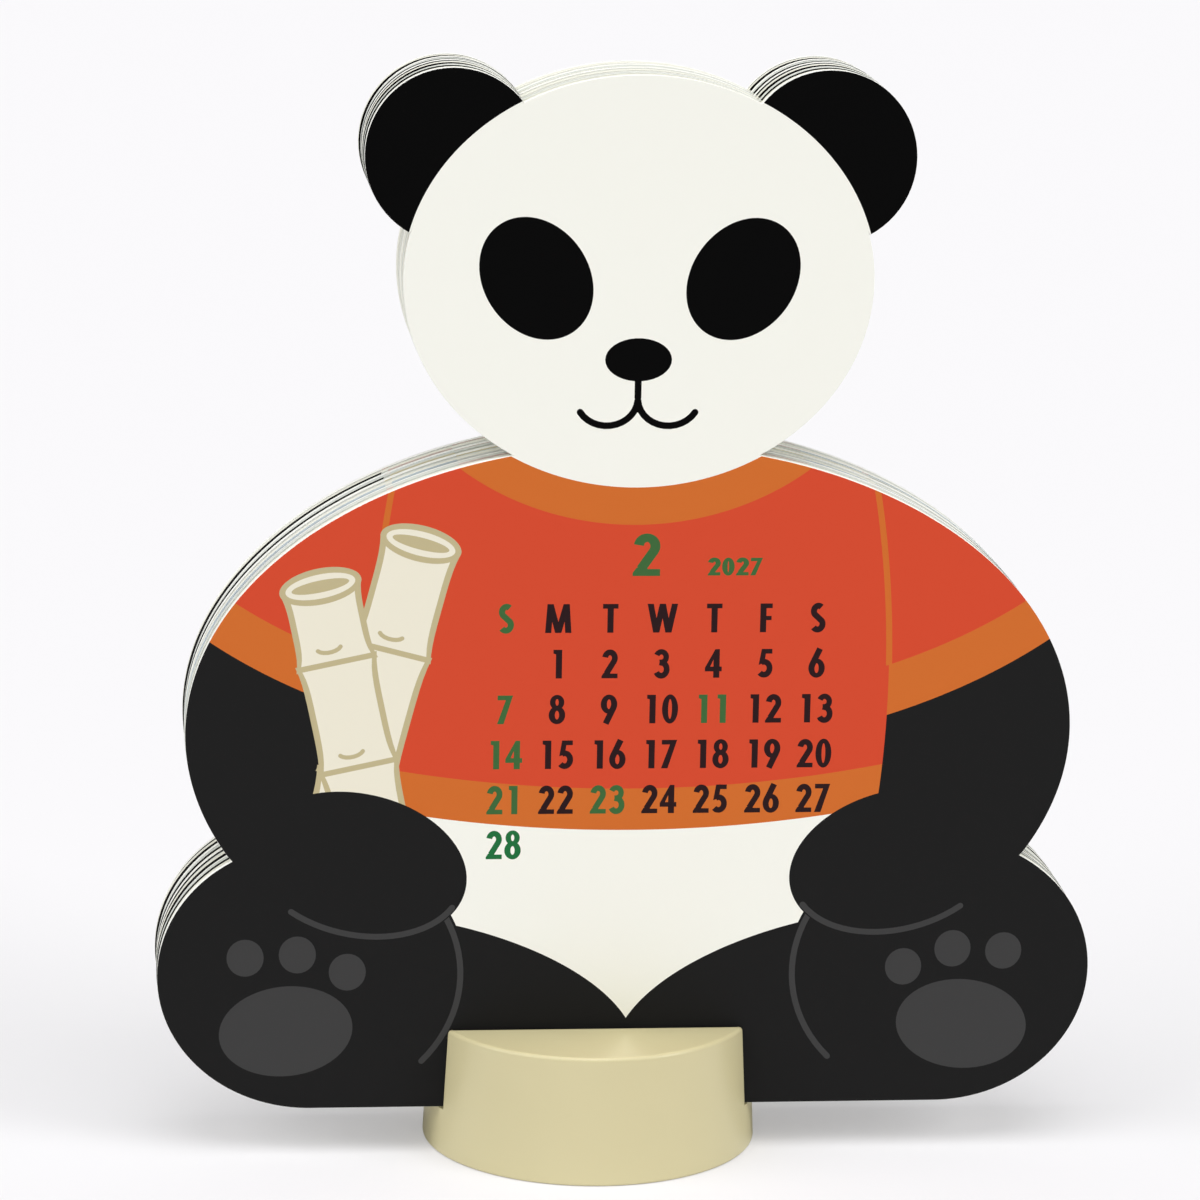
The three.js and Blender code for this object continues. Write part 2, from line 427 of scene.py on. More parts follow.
class Signs:
    """Bold narrow figures and weekday initials, drawn HEIGHT tall and WIDTH wide on a baseline."""

    HEIGHT = 4.1
    WIDTH = 2.25

    def __init__(self, stroke: float = 0.86) -> None:
        """Draws every sign once.

        Args:
            stroke: width of the upright strokes.
        """
        self.stroke = stroke
        top, bar, curve = self.HEIGHT, 0.78 * stroke, 0.96 * stroke
        half = self.WIDTH / 2
        six = (
            Shape.ring(Oval(0, 1.32, half + 0.03, 1.38), stroke, bar),
            Shape.ribbon([(-0.71, 1.5), (-0.6, 1.88), (0.42, top + 0.02)], stroke),
        )
        self.shapes: dict[str, tuple[Shape, ...]] = {
            "0": (Shape.ring(Oval(0, top / 2, half, top / 2 + 0.05), stroke, bar),),
            "1": (
                Shape.plate(
                    (0.6 - stroke, 0), (0.6, 0), (0.6, top), (-0.62, top), (-0.62, top - 0.55),
                    (0.6 - stroke, top - 0.65),
                ),
            ),
            "2": (
                Shape.ribbon(Oval(0.02, 2.88, 0.68, 0.83).arc(172, -30, 12) + [(-0.42, 0.72)], curve),
                Shape.plate(
                    (-half, 0), (half, 0), (half, bar), (0.1, bar), (-0.1, 1.3), (-0.85, 0.75),
                    (-half, 0.3),
                ),
            ),
            "3": (
                Shape.ribbon(
                    Oval(-0.06, 3.0, 0.68, 0.75).arc(158, -80, 12) + [(-0.3, 2.24)], 0.9 * stroke
                ),
                Shape.ribbon([(-0.3, 2.24)] + Oval(-0.04, 1.25, 0.76, 0.93).arc(84, -152, 12), curve),
            ),
            "4": (
                Shape(
                    (
                        (
                            (-1.18, 0.92), (0.0, 0.92), (0.0, 0), (stroke, 0), (stroke, 0.92),
                            (1.18, 0.92), (1.18, 1.6), (stroke, 1.6), (stroke, top), (0.24, top),
                            (-1.18, 1.45),
                        ),
                        ((-0.44, 1.6), (0.0, 2.62), (0.0, 1.6)),
                    )
                ),
            ),
            "5": (
                Shape.plate((-0.6, top - bar), (0.98, top - bar), (0.98, top), (-0.5, top)),
                Shape.plate((-0.9, 1.82), (-0.1, 2.1), (0.16, top - 0.1), (-0.52, top)),
                Shape.ribbon(Oval(-0.14, 1.33, 0.78, 0.93).arc(122, -138, 12), curve),
            ),
            "6": six,
            "7": (
                Shape.plate(
                    (-1.05, top), (-1.05, top - bar), (0.1, top - bar), (-1.1, 0), (-0.18, 0), (1.1, top)
                ),
            ),
            "8": (
                Shape.ring(Oval(0, 3.08, 1.0, 1.08), 0.9 * stroke, 0.9 * bar),
                Shape.ring(Oval(0, 1.25, half + 0.03, 1.3), stroke, bar),
            ),
            "9": tuple(shape.turned_over(top) for shape in six),
            "S": (
                Shape.ribbon(
                    Oval(0.04, 2.98, 0.64, 0.77).arc(48, 212, 12)
                    + Oval(-0.04, 1.15, 0.7, 0.8).arc(32, -142, 12),
                    stroke,
                ),
            ),
            "M": tuple(self.beam(*ends) for ends in ((-1.4, -1.12), (0, -1.12), (0, 1.12), (1.4, 1.12))),
            "T": (Shape.bar(-1.08, 1.08, top - bar, top), self.beam(0, 0)),
            "W": tuple(self.beam(*ends) for ends in ((-0.85, -1.7), (-0.85, 0), (0.85, 0), (0.85, 1.7))),
            "F": (
                self.beam(-0.42, -0.42),
                Shape.bar(-0.5, 0.86, top - bar, top),
                Shape.bar(-0.5, 0.74, 1.72, 2.32),
            ),
        }

    def beam(self, foot: float, head: float) -> Shape:
        """A straight stroke from the baseline to the top.

        Args:
            foot: its place across on the baseline.
            head: its place across at the top.

        Returns:
            The stroke, cut level at both ends.
        """
        half = self.stroke / 2
        return Shape.plate(
            (foot - half, 0), (foot + half, 0), (head + half, self.HEIGHT), (head - half, self.HEIGHT)
        )

    def row(
        self, text: str, x: float, z: float, advance: float, wide: float = 1.0, high: float = 1.0
    ) -> list[Shape]:
        """A short row of signs about a middle point.

        Args:
            text: the signs.
            x: place across of the row's middle.
            z: height of the row's middle.
            advance: distance from one sign's middle to the next.
            wide: stretch of each sign's width.
            high: stretch of each sign's height.

        Returns:
            The shapes of all its signs.
        """
        found = []
        for i, sign in enumerate(text):
            place = x + (i - (len(text) - 1) / 2) * advance
            for shape in self.shapes[sign]:
                found.append(shape.placed(place, z - high * self.HEIGHT / 2, wide, high))
        return found


@dataclass(frozen=True)
class MonthPage:
    """The words of a month: its number, the year, the weekdays and the dates."""

    month: int
    signs: Signs
    bold_signs: Signs
    holidays: tuple[int, ...] = ()
    first_column: float = -17.7
    column: float = 7.25
    digit: float = 2.62
    weekdays: float = 70.85
    first_row: float = 64.35
    row: float = 6.5
    hem: float = 41.6

    def patches(self) -> list[Patch]:
        """The lettering, in the order in which it is laid down."""
        return [Patch(ink, (shape,)) for ink, shapes in self.lines() for shape in shapes]

    def lines(self) -> list[tuple[Ink, list[Shape]]]:
        """Sets out the page.

        Returns:
            Each word or number with its ink.
        """
        signs = self.signs
        found = [
            (Ink.OLIVE, signs.row(str(self.month), x=1.65, z=79.85, advance=4.4, wide=1.7, high=1.46)),
            (
                Ink.OLIVE,
                self.bold_signs.row(str(YEAR), x=14.05, z=78.15, advance=1.97, wide=0.78, high=0.61),
            ),
        ]
        for i, initial in enumerate("SMTWTFS"):
            ink = Ink.OLIVE if i == 0 else Ink.TEXT
            found.append((ink, signs.row(initial, self.first_column + self.column * i, self.weekdays, 0)))
        weeks = calendar.Calendar(calendar.SUNDAY).monthdayscalendar(YEAR, self.month)
        for i, week in enumerate(weeks):
            z = self.first_row - self.row * i
            green = Ink.OLIVE if z > self.hem else Ink.GREEN
            for j, day in enumerate(week):
                if day == 0:
                    continue
                ink = green if j == 0 or day in self.holidays else Ink.TEXT
                x = self.first_column + self.column * j
                found.append((ink, signs.row(str(day), x, z, self.digit)))
        return found


@dataclass(frozen=True)
class CoverPage:
    """The cover, which shows the year alone."""

    signs: Signs

    def patches(self) -> list[Patch]:
        """The lettering of the cover."""
        year = self.signs.row(str(YEAR), x=4, z=66, advance=5.6, wide=2.0, high=2.0)
        return [Patch(Ink.TEXT, (shape,)) for shape in year]


@dataclass(frozen=True)
class Outfit:
    """The pullover printed on one card."""

    cloth: Colour
    trim: Colour
    sleeve: Sleeve = Sleeve.SHORT


@dataclass(frozen=True)
class Figure:
    """The seated panda: the ovals that its card is cut to, and the picture printed on it."""

    head: Oval = Oval(0, 117.9, 32.3, 28.3)
    ear: Oval = Oval(25.69, 135.05, 12, 12)
    body: Oval = Oval(0, 54.4, 62, 41)
    foot: Oval = Oval(44.5, 19.5, 21.5, 19.5)
    leg: Oval = Oval(32, 12.5, 34, 15.5, 10)
    trunk: Oval = Oval(0, 62.4, 36, 75)
    paw: Oval = Oval(38, 35.4, 15.5, 10.5, 14)
    bleed: float = 0.3
    line: float = 0.85

    def outline(self) -> list[Oval]:
        """The ovals that the card's outline is made of, the body first."""
        pairs = [oval for one in (self.foot, self.ear) for oval in (one, one.on(-1))]
        return [self.body, self.head, *pairs]

    def picture(self, outfit: Outfit) -> list[Patch]:
        """The picture with one pullover, from the first ink laid down to the last."""
        return [*self.pullover(outfit), *self.legs(), *self.canes(), *self.paws(), *self.face()]

    def pullover(self, outfit: Outfit) -> list[Patch]:
        """The pullover with its hem, collar and sleeves, and the arms below them.

        Args:
            outfit: the pullover worn on this card.

        Returns:
            The patches in order.
        """
        card = Shape.disc(self.body.grown(self.bleed * 3))
        shirt = Shape.disc(Oval(0, 102.4, 110, 62))
        above_hem = Shape.disc(Oval(0, 108.4, 110, 62))
        trunk = Shape.disc(self.trunk)
        seam = Shape.ring(self.trunk.grown(self.line / 2), self.line, self.line)
        sleeve = Shape.disc(Oval(0, 104.4, 75, 46))
        cuff = Shape.disc(Oval(0, 102.4, 80, 51))
        collar = Shape.disc(self.head.grown(5.5))
        below_neck = Shape.bar(-60, 60, 40, 98)
        cloth = {
            Sleeve.NONE: (Ink.BLACK, Ink.BLACK, Ink.BLACK),
            Sleeve.SHORT: (Ink.BLACK, Ink.TRIM, Ink.CLOTH),
            Sleeve.LONG: (Ink.CLOTH, Ink.CLOTH, Ink.CLOTH),
        }
        lower_arm, cuff_ink, upper_arm = cloth[outfit.sleeve]
        return [
            Patch(Ink.TRIM, (card, shirt)),
            Patch(Ink.CLOTH, (card, above_hem)),
            Patch(lower_arm, (card,), (trunk,)),
            Patch(cuff_ink, (card, cuff), (trunk,)),
            Patch(upper_arm, (card, sleeve), (trunk,)),
            Patch(Ink.TRIM, (seam, sleeve)),
            Patch(Ink.TRIM, (collar, below_neck)),
        ]

    def legs(self) -> list[Patch]:
        """Legs and feet, with their grey creases, soles and toes.

        Returns:
            The black areas first, then the grey ones.
        """
        found = []
        black = (self.leg, self.foot.grown(self.bleed))
        for side in SIDES:
            found += [Patch(Ink.BLACK, (Shape.disc(oval.on(side)),)) for oval in black]
        for side, (start, end) in zip(SIDES, ((62, -42), (118, 222)), strict=True):
            crease = self.foot.on(side).grown(-0.5).arc(start, end, 4)
            found.append(Patch(Ink.GREY, (Shape.ribbon(crease, self.line, rounded=True),)))
            sole = Oval(side * 48, 11.4, 9.4, 6.6, side * -6)
            found.append(Patch(Ink.GREY, (Shape.disc(sole),)))
            for across, up in ((-8.6, 20.0), (-1.6, 22.6), (5.7, 22.2)):
                toe = Oval(side * (48 + across), up, 2.6, 2.7)
                found.append(Patch(Ink.GREY, (Shape.disc(toe, 0.6),)))
        return found

    def canes(self) -> list[Patch]:
        """Two bamboo canes that cross above the paw that holds them."""
        back = self.cane(foot=(-42.0, 34.0), tip=(-29.6, 81.5), joints=(0.3, 0.68))
        return back + self.cane(foot=(-34.6, 34.0), tip=(-43.4, 75.5), joints=(0.38, 0.74))

    def cane(self, foot: Point, tip: Point, joints: Sequence[float]) -> list[Patch]:
        """One cane, as slightly waisted lengths with a dark outline and an open tip.

        Args:
            foot: middle of its lower end.
            tip: middle of its upper end.
            joints: where its joints are, as shares of its length.

        Returns:
            The outlines, the lengths and then the tip and the buds.
        """
        along = Vector(tip) - Vector(foot)
        total = along.length
        along.normalize()
        across = Vector((-along.y, along.x))
        half, waist, gap = 4.9, 0.11, 0.4

        def at(distance: float, aside: float) -> Point:
            """The point at a distance along the cane and to the left of its middle."""
            return tuple(Vector(foot) + along * distance + across * aside)

        def length(start: float, end: float, extra: float) -> Shape:
            """One length between two joints.

            Args:
                start: distance of its lower end along the cane.
                end: distance of its upper end.
                extra: by how much it is larger all round.

            Returns:
                The length, slightly waisted.
            """
            right, left = [], []
            span = min(end + extra, total) - start + extra
            for i in range(13):
                share = i / 12
                reach = half * (1 - waist * (1 - (2 * share - 1) ** 4)) + extra
                distance = start - extra + span * share
                right.append(at(distance, -reach))
                left.append(at(distance, reach))
            return Shape.plate(*right, *left[::-1])

        stops = [0.0, *joints, 1.0]
        spans = [
            (total * a + (gap if a > 0 else 0), total * b - (gap if b < 1 else 0))
            for a, b in zip(stops, stops[1:])
        ]
        tilt = math.degrees(math.atan2(along.y, along.x)) - 90
        mouth = Oval(*tip, half, 1.7, tilt)
        found = [Patch(Ink.TAN, (length(a, b, self.line),)) for a, b in spans]
        found += [Patch(Ink.CREAM, (length(a, b, 0),)) for a, b in spans]
        found.append(Patch(Ink.TAN, (Shape.disc(mouth.grown(self.line), 0.6),)))
        found.append(Patch(Ink.CREAM, (Shape.disc(mouth, 0.6),)))
        found.append(Patch(Ink.TAN, (Shape.disc(mouth.grown(-self.line), 0.5),)))
        for joint in joints:
            bud = Oval(*at(total * joint + 2.4, 0.6), 1.7, 0.8, tilt)
            found.append(Patch(Ink.TAN, (Shape.ribbon(bud.arc(200, 340, 20), 0.6, rounded=True),)))
        return found

    def paws(self) -> list[Patch]:
        """Both paws, with a grey line where one lies over black.

        Returns:
            Each paw, followed by its line.
        """
        found = []
        for side, (start, end) in zip(SIDES, ((-16, -120), (196, 300)), strict=True):
            paw = self.paw.on(side)
            edge = Shape.ribbon(paw.grown(-0.6).arc(start, end, 5), self.line, rounded=True)
            found += [Patch(Ink.BLACK, (Shape.disc(paw),)), Patch(Ink.GREY, (edge,))]
        return found

    def face(self) -> list[Patch]:
        """Ears, head and the plain features of the face.

        Returns:
            The ears, the head over them, and then the eye patches, the nose and the mouth.
        """
        eye, nose = Oval(14.2, 118.4, 7.2, 9.0, -35), Oval(0, 107.2, 4.6, 3.0)
        cheek = Oval(4.25, 101.8, 4.25, 3.8)
        strokes = [[(0, 105.4), (0, 101.9)], cheek.arc(-176, -30, 12), cheek.on(-1).arc(-4, -150, 12)]
        return [
            *[Patch(Ink.DEEP, (Shape.disc(o.grown(self.bleed)),)) for o in (self.ear, self.ear.on(-1))],
            Patch(Ink.PAPER, (Shape.disc(self.head.grown(self.bleed * 0.8)),)),
            *[Patch(Ink.DEEP, (Shape.disc(o, 0.7),)) for o in (eye, eye.on(-1), nose)],
            *[Patch(Ink.DEEP, (Shape.ribbon(s, 0.95, rounded=True),)) for s in strokes],
        ]


class Recipe:
    """A material while it is put together, with its main shader and its object coordinates."""

    def __init__(self, name: str, colour: Colour, roughness: float, shine: float) -> None:
        """Starts a plain material.

        Args:
            name: the material's name.
            colour: its colour as seen on a screen.
            roughness: how dull its reflections are.
            shine: strength of its reflections, 0.5 for plain plastic.
        """
        self.material = bpy.data.materials.new(name)
        self.material.use_nodes = True
        self.tree = self.material.node_tree
        self.shader = self.tree.nodes["Principled BSDF"]
        plain = {"Base Color": linear(colour), "Roughness": roughness, "Specular IOR Level": shine}
        feed(self.tree, self.shader, plain)
        self.place = new_node(self.tree, "ShaderNodeTexCoord", {})["Object"]

    def noise(
        self, scale: float, detail: float = 2.0, stretch: tuple[float, float, float] = (1, 1, 1)
    ) -> bpy.types.NodeSocket:
        """A noise pattern on the piece.

        Args:
            scale: its fineness, in patches a metre.
            detail: how many finer layers it has.
            stretch: how much finer still it is along each axis.

        Returns:
            Its grey value.
        """
        spread = new_node(self.tree, "ShaderNodeMapping", {"Vector": self.place, "Scale": stretch})
        pattern = {"Vector": spread["Vector"], "Scale": scale, "Detail": detail}
        return new_node(self.tree, "ShaderNodeTexNoise", pattern)["Fac"]

    def ranged(self, value: bpy.types.NodeSocket, low: float, high: float) -> bpy.types.NodeSocket:
        """Maps a noise value, most of which lies between 0.25 and 0.75, onto a range."""
        limits = {"Value": value, "From Min": 0.25, "From Max": 0.75, "To Min": low, "To Max": high}
        return new_node(self.tree, "ShaderNodeMapRange", limits)["Result"]

    def roughen(self, value: bpy.types.NodeSocket, low: float, high: float) -> None:
        """Lets a pattern vary the roughness between two values."""
        feed(self.tree, self.shader, {"Roughness": self.ranged(value, low, high)})

    def emboss(self, value: bpy.types.NodeSocket, depth: float, strength: float) -> None:
        """Lets a pattern raise the surface.

        Args:
            value: the pattern.
            depth: its height in metres.
            strength: how much of it shows.
        """
        relief = {"Height": value, "Distance": depth, "Strength": strength}
        bump = new_node(self.tree, "ShaderNodeBump", relief)
        feed(self.tree, self.shader, {"Normal": bump["Normal"]})

    def tint(self, value: bpy.types.NodeSocket, one: Colour, other: Colour) -> None:
        """Lets a pattern move the colour between two close tones.

        Args:
            value: the pattern.
            one: the tone where it is low.
            other: the tone where it is high.
        """
        tones = {"Factor": self.ranged(value, 0, 1), "A": linear(one), "B": linear(other)}
        mix = new_node(self.tree, "ShaderNodeMix", tones, data_type="RGBA")
        feed(self.tree, self.shader, {"Base Color": mix["Result"]})


@dataclass(frozen=True)
class PrintFinish:
    """Matt offset ink on coated board, with the board's fine tooth under it."""

    name: str
    colour: Colour
    roughness: float = 0.52
    shine: float = 0.05

    def make(self) -> bpy.types.Material:
        """Makes the material.

        Returns:
            The material.
        """
        recipe = Recipe(self.name, self.colour, self.roughness, self.shine)
        sheen = recipe.noise(scale=420, detail=3)
        recipe.roughen(sheen, low=self.roughness - 0.04, high=self.roughness + 0.04)
        recipe.emboss(recipe.noise(scale=3600), depth=0.00002, strength=0.1)
        return recipe.material


@dataclass(frozen=True)
class CutFinish:
    """The die-cut edge of the board, where its plies show as faint lines along the cut."""

    name: str
    colour: Colour

    def make(self) -> bpy.types.Material:
        """Makes the material.

        Returns:
            The material.
        """
        recipe = Recipe(self.name, self.colour, roughness=0.8, shine=0.1)
        plies = recipe.noise(scale=260, stretch=(1, 34, 1))
        recipe.roughen(plies, low=0.72, high=0.9)
        recipe.emboss(plies, depth=0.00005, strength=0.35)
        return recipe.material


@dataclass(frozen=True)
class PlasticFinish:
    """Satin moulded plastic, with a faint cloudiness and the fine grain of the mould."""

    name: str
    colour: Colour
    cloud: Colour
    roughness: float = 0.3
    shine: float = 0.5

    def make(self) -> bpy.types.Material:
        """Makes the material.

        Returns:
            The material.
        """
        recipe = Recipe(self.name, self.colour, self.roughness, self.shine)
        recipe.tint(recipe.noise(scale=55), self.colour, self.cloud)
        grain = recipe.noise(scale=700)
        recipe.roughen(grain, low=self.roughness - 0.02, high=self.roughness + 0.02)
        recipe.emboss(recipe.noise(scale=5200), depth=0.00001, strength=0.12)
        return recipe.material


# As seen on a screen. Cloth and trim come from each card's outfit, and the core from its board.
PRINT_COLOURS: dict[Ink, Colour] = {
    Ink.BACK: (236, 236, 228),
    Ink.PAPER: (240, 240, 231),
    Ink.BLACK: (29, 29, 29),
    Ink.DEEP: (2, 2, 2),
    Ink.GREY: (62, 62, 62),
    Ink.CREAM: (232, 227, 208),
    Ink.TAN: (189, 177, 138),
    Ink.GREEN: (34, 108, 60),
    Ink.OLIVE: (62, 102, 58),
    Ink.TEXT: (42, 26, 28),
}


@dataclass
class Blank:
    """The board that every card is cut from: its outline and the outlines of all that is printed."""

    figure: Figure
    thickness: float
    edge_rounding: float = 0.07
    facet: float = 1.1
    reach: float = 0.5
    shortest: float = 0.2
    cutter: bpy.types.Material = field(default_factory=lambda: bpy.data.materials.new("cutting_wall"))

    def build(self, shapes: Sequence[Shape]) -> bpy.types.Object:
        """Makes the board with the picture's outlines cut through it.

        Args:
            shapes: the shapes of the picture.

        Returns:
            The board, in millimetres, with its front at y = 0 and its lower edge at z = 0.
        """
        board = self.cut_out()
        self.round_edges(board)
        for _ in (*Ink, None):
            board.data.materials.append(None)
        board.data.materials[len(Ink)] = self.cutter
        self.score(board, shapes, -self.reach, self.thickness + self.reach)
        return board

    def cut_out(self) -> bpy.types.Object:
        """Joins the figure's ovals and its straight seat into one board.

        Returns:
            The board with plain faces and sharp edges.
        """
        parts = [self.slice_of(oval) for oval in self.figure.outline()]
        foot, body = self.figure.foot, self.figure.body
        seat = primitive(
            bpy.ops.mesh.primitive_cube_add,
            size=1,
            location=(0, self.thickness / 2, body.z / 2),
            scale=(2 * foot.x, self.thickness, body.z),
        )
        board = parts[0]
        for part in (*parts[1:], seat):
            combine(board, part, "UNION")
        with editing(board):
            bpy.ops.mesh.remove_doubles(threshold=self.shortest / 20)
            pick(board, faces=lambda f: f.normal.y < -FLAT)
            bpy.ops.mesh.dissolve_faces()
            bpy.ops.mesh.select_all(action="INVERT")
            bpy.ops.mesh.delete(type="FACE")
            bpy.ops.mesh.select_all(action="SELECT")
            bpy.ops.mesh.remove_doubles(threshold=self.shortest)
            bpy.ops.mesh.delete_loose()
            bpy.ops.mesh.select_all(action="SELECT")
            bpy.ops.mesh.extrude_region_move(TRANSFORM_OT_translate={"value": (0, self.thickness, 0)})
            bpy.ops.mesh.select_all(action="SELECT")
            bpy.ops.mesh.normals_make_consistent(inside=False)
        return board

    def slice_of(self, oval: Oval) -> bpy.types.Object:
        """One oval of the outline, as an upright slice of board.

        Args:
            oval: the oval.

        Returns:
            The slice, as thick as the board.
        """
        corners = round(math.pi * (oval.half_width + oval.half_height) / self.facet)
        return primitive(
            bpy.ops.mesh.primitive_cylinder_add,
            vertices=corners,
            radius=1,
            depth=1,
            location=(oval.x, self.thickness / 2, oval.z),
            rotation=(math.pi / 2, 0, 0),
            scale=(oval.half_width, oval.half_height, self.thickness),
        )

    def round_edges(self, board: bpy.types.Object) -> None:
        """Breaks the sharp edges round the front and the back.

        Args:
            board: the board as cut out.
        """

        def goes_round(edge: bmesh.types.BMEdge) -> bool:
            """Whether an edge lies between a flat side of the board and its cut edge."""
            one, other = edge.verts
            return edge.calc_face_angle(0) > CORNER and abs(one.co.y - other.co.y) < SAME

        with editing(board):
            round_off(board, goes_round, self.edge_rounding, segments=2)

    def score(self, board: bpy.types.Object, shapes: Sequence[Shape], near: float, far: float) -> None:
        """Cuts the outlines of shapes into a board's faces, which stay closed.

        Args:
            board: the board, in millimetres.
            shapes: what is scored into it.
            near: y of the front end of the cutting walls.
            far: y of their other end.
        """
        corners: list[tuple[float, float, float]] = []
        lines: list[tuple[int, int]] = []
        for shape in shapes:
            for loop in shape.loops:
                first, count = len(corners), len(loop)
                corners += [(x, near, z) for x, z in loop]
                lines += [(first + i, first + (i + 1) % count) for i in range(count)]
        mesh = bpy.data.meshes.new("cutting_walls")
        mesh.from_pydata(corners, lines, [])
        walls = in_scene("cutting_walls", mesh)
        mesh.materials.append(self.cutter)
        with editing(walls):
            bpy.ops.mesh.select_mode(type="EDGE")
            bpy.ops.mesh.select_all(action="SELECT")
            bpy.ops.mesh.extrude_edges_move(TRANSFORM_OT_translate={"value": (0, far - near, 0)})
        select_only(board)
        walls.select_set(True)
        bpy.ops.object.join()
        wall = len(Ink)
        with editing(board):
            pick(board, faces=lambda f: f.material_index == wall)
            bpy.ops.mesh.intersect(mode="SELECT_UNSELECT", separate_mode="NONE", solver="EXACT")
            pick(board, faces=lambda f: f.material_index == wall)
            bpy.ops.mesh.delete(type="FACE")


@dataclass(frozen=True)
class Settling:
    """How far one card has settled away from its even place in the slot, in millimetres."""

    right: float = 0.0
    up: float = 0.0


@dataclass
class Card:
    """One printed card of the stack."""

    name: str
    outfit: Outfit
    page: MonthPage | CoverPage
    settling: Settling
    core: bpy.types.Material
    inked: float = -0.6
    speck: float = 0.002

    def build(self, blank: Blank, board: bpy.types.Object, inks: dict[Ink, bpy.types.Material]) -> None:
        """Makes the card from a copy of the board and gives it to its body.

        Args:
            blank: what the board was made by.
            board: the board with the picture's outlines.
            inks: the finishes that all cards share.
        """
        node = f"card_{self.name}"
        low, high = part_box(node)
        select_only(board)
        bpy.ops.object.duplicate()
        card = bpy.context.object
        card.name = f"{self.name}_board"
        lettering = [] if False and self.name != "february" else self.page.patches()
        if lettering:
            blank.score(card, shapes_of(lettering), -blank.reach, blank.reach)
        self.ink(card, [*blank.figure.picture(self.outfit), *lettering])
        self.dress(card, inks)
        self.tidy(card)
        shift = Matrix.Translation((self.settling.right, 0, self.settling.up))
        place = Matrix.Translation(((low.x + high.x) / 2, low.y, low.z))
        card.matrix_world = place @ Matrix.Scale(MM, 4) @ shift
        settle_in_mesh(card)
        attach(card, node)
        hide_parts(node)
        log.info("%s: %d faces", card.name, len(card.data.polygons))

    def ink(self, card: bpy.types.Object, patches: list[Patch]) -> None:
        """Gives every face the number of its ink.

        Args:
            card: the scored board.
            patches: the card's picture and lettering, in the order in which they are printed.
        """
        numbers = {ink: i for i, ink in enumerate(Ink)}
        mesh = bmesh.new()
        mesh.from_mesh(card.data)
        mesh.normal_update()
        largest: dict[int, tuple[float, Vector]] = {}
        for loops in mesh.calc_loop_triangles():
            a, b, c = (loop.vert.co for loop in loops)
            area = (b - a).cross(c - a).length
            face = loops[0].face.index
            if area > largest.get(face, (0.0, None))[0]:
                largest[face] = (area, (a + b + c) / 3)
        for face in mesh.faces:
            if face.normal.y > self.inked:
                ink = Ink.BACK if face.normal.y > FLAT else Ink.CORE
            else:
                middle = largest[face.index][1]
                ink = ink_at(patches, middle.x, middle.z)
            face.material_index = numbers[ink]
        mesh.to_mesh(card.data)
        mesh.free()

    def dress(self, card: bpy.types.Object, inks: dict[Ink, bpy.types.Material]) -> None:
        """Puts the card's finishes into its slots.

        Args:
            card: the inked board.
            inks: the finishes that all cards share.
        """
        own = {
            Ink.CORE: self.core,
            Ink.CLOTH: PrintFinish(f"print_cloth_{self.name}", self.outfit.cloth).make(),
            Ink.TRIM: PrintFinish(f"print_trim_{self.name}", self.outfit.trim).make(),
        }
        for i, ink in enumerate(Ink):
            card.data.materials[i] = own.get(ink) or inks[ink]

    def tidy(self, card: bpy.types.Object) -> None:
        """Drops specks, joins faces of one ink again, smooths the cut edge and drops empty slots.

        Args:
            card: the inked and dressed board.
        """
        with editing(card):
            bpy.ops.mesh.dissolve_degenerate(threshold=self.speck)
            bpy.ops.mesh.dissolve_limited(angle_limit=math.radians(0.05), delimit={"MATERIAL"})
        bpy.ops.object.shade_smooth_by_angle(angle=math.radians(15))
        bpy.ops.object.material_slot_remove_unused()


